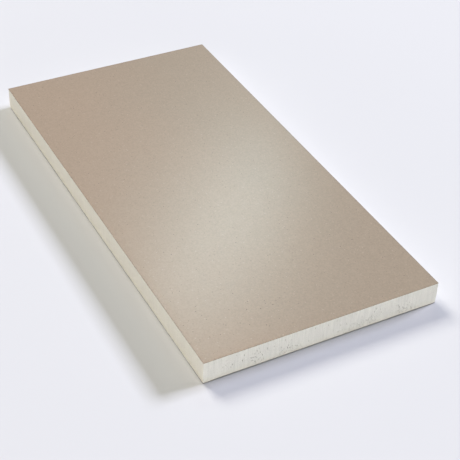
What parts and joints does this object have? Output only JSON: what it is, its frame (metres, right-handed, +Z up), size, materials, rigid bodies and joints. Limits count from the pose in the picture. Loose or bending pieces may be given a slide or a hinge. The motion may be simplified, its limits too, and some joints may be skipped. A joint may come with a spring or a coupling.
{
  "type": "pir insulation board",
  "caption": "Flat rectangular insulation board: a rigid foam slab with a thin tan facing bonded to each broad face and bare cream foam on all four edges.",
  "frame": {"origin": "centre of the board's underside, on the surface that it lies on", "axes": "+X along the length, +Y along the width, +Z up through the thickness"},
  "size_m": [1.2, 0.6, 0.06],
  "materials": {
    "foam": "matt, sawn closed-cell foam with open pores and short vertical slits",
    "facing": "satin mineral-coated fleece, lightly mottled, with scattered pinholes"
  },
  "bodies": {
    "root": {"foam_core": "foam", "top_facing": "facing", "bottom_facing": "facing"}
  },
  "joints": []
}
